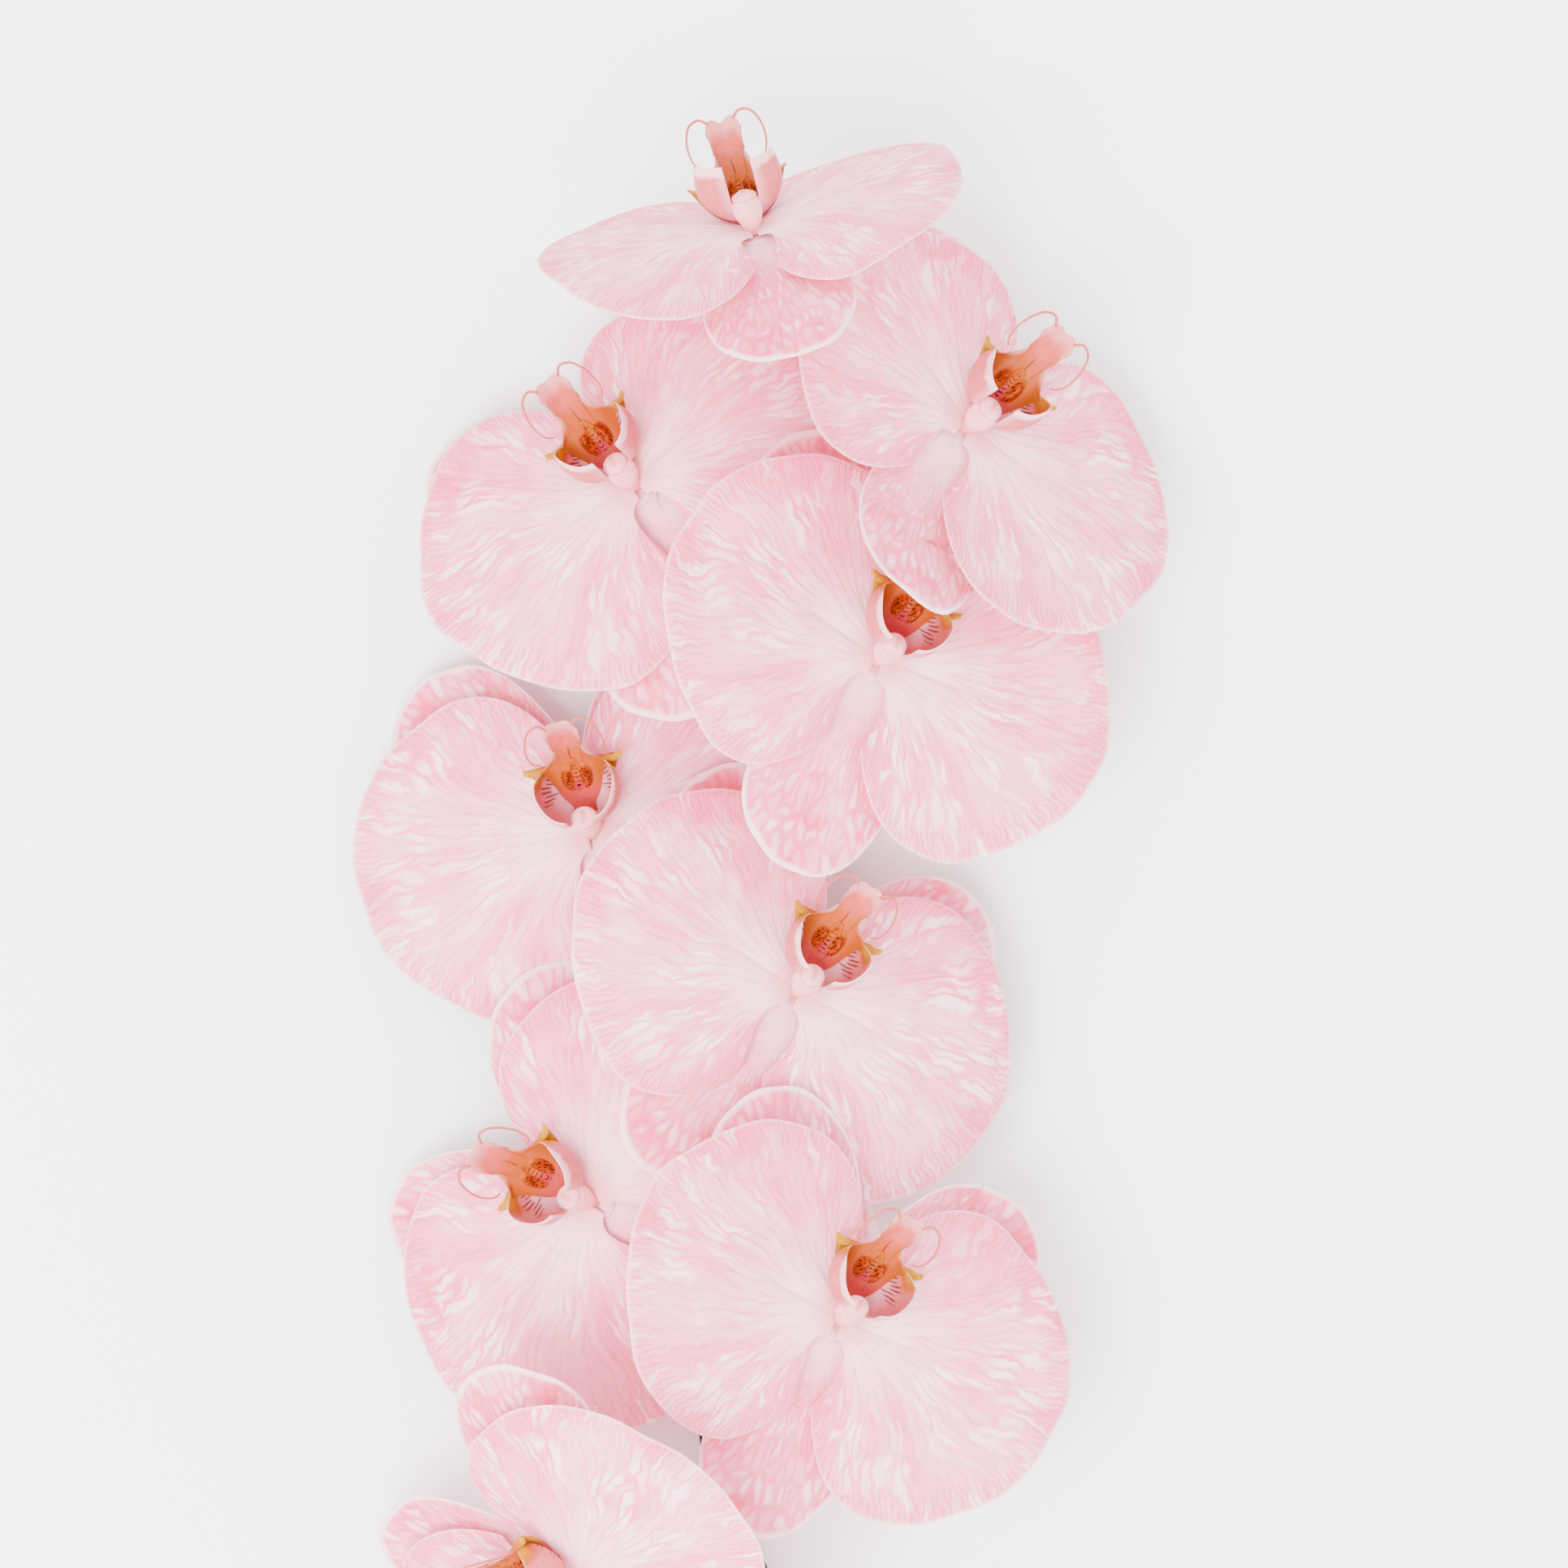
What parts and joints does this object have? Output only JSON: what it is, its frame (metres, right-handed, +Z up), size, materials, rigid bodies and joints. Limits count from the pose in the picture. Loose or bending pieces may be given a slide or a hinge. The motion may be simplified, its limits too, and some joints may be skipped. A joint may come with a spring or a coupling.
{
  "type": "moth orchid stem",
  "caption": "Cut moth orchid stem with open pale pink blooms on short stalks along a thin dark stem, laid flat",
  "frame": {"origin": "on the surface that the stem lies on, under the middle of its outline seen from above", "axes": "+Y along the stem towards its flowering tip, +Z up from the surface, +X to the right seen from above"},
  "size_m": [0.1908, 0.631, 0.1082],
  "materials": {
    "stem_bark": "matt living stem",
    "stalk_skin": "satin living skin",
    "petal_tissue": "velvety petal with pink veins and a white edge",
    "lip_tissue": "waxy lip with orange patches and dark red lines",
    "column_tissue": "waxy, nearly white"
  },
  "bodies": {
    "root": {"stem": "stem_bark", "bloom1_petal_right": "petal_tissue", "bloom1_petal_left": "petal_tissue", "bloom1_sepals": "petal_tissue", "bloom1_lip": "lip_tissue", "bloom1_column": "column_tissue", "bloom1_stalk": "stalk_skin", "bloom2_petal_right": "petal_tissue", "bloom2_petal_left": "petal_tissue", "bloom2_sepals": "petal_tissue", "bloom2_lip": "lip_tissue", "bloom2_column": "column_tissue", "bloom2_stalk": "stalk_skin", "bloom3_petal_right": "petal_tissue", "bloom3_petal_left": "petal_tissue", "bloom3_sepals": "petal_tissue", "bloom3_lip": "lip_tissue", "bloom3_column": "column_tissue", "bloom3_stalk": "stalk_skin", "bloom4_petal_right": "petal_tissue", "bloom4_petal_left": "petal_tissue", "bloom4_sepals": "petal_tissue", "bloom4_lip": "lip_tissue", "bloom4_column": "column_tissue", "bloom4_stalk": "stalk_skin", "bloom5_petal_right": "petal_tissue", "bloom5_petal_left": "petal_tissue", "bloom5_sepals": "petal_tissue", "bloom5_lip": "lip_tissue", "bloom5_column": "column_tissue", "bloom5_stalk": "stalk_skin", "bloom6_petal_right": "petal_tissue", "bloom6_petal_left": "petal_tissue", "bloom6_sepals": "petal_tissue", "bloom6_lip": "lip_tissue", "bloom6_column": "column_tissue", "bloom6_stalk": "stalk_skin", "bloom7_petal_right": "petal_tissue", "bloom7_petal_left": "petal_tissue", "bloom7_sepals": "petal_tissue", "bloom7_lip": "lip_tissue", "bloom7_column": "column_tissue", "bloom7_stalk": "stalk_skin", "bloom8_petal_right": "petal_tissue", "bloom8_petal_left": "petal_tissue", "bloom8_sepals": "petal_tissue", "bloom8_lip": "lip_tissue", "bloom8_column": "column_tissue", "bloom8_stalk": "stalk_skin", "bloom9_petal_right": "petal_tissue", "bloom9_petal_left": "petal_tissue", "bloom9_sepals": "petal_tissue", "bloom9_lip": "lip_tissue", "bloom9_column": "column_tissue", "bloom9_stalk": "stalk_skin"}
  },
  "joints": []
}
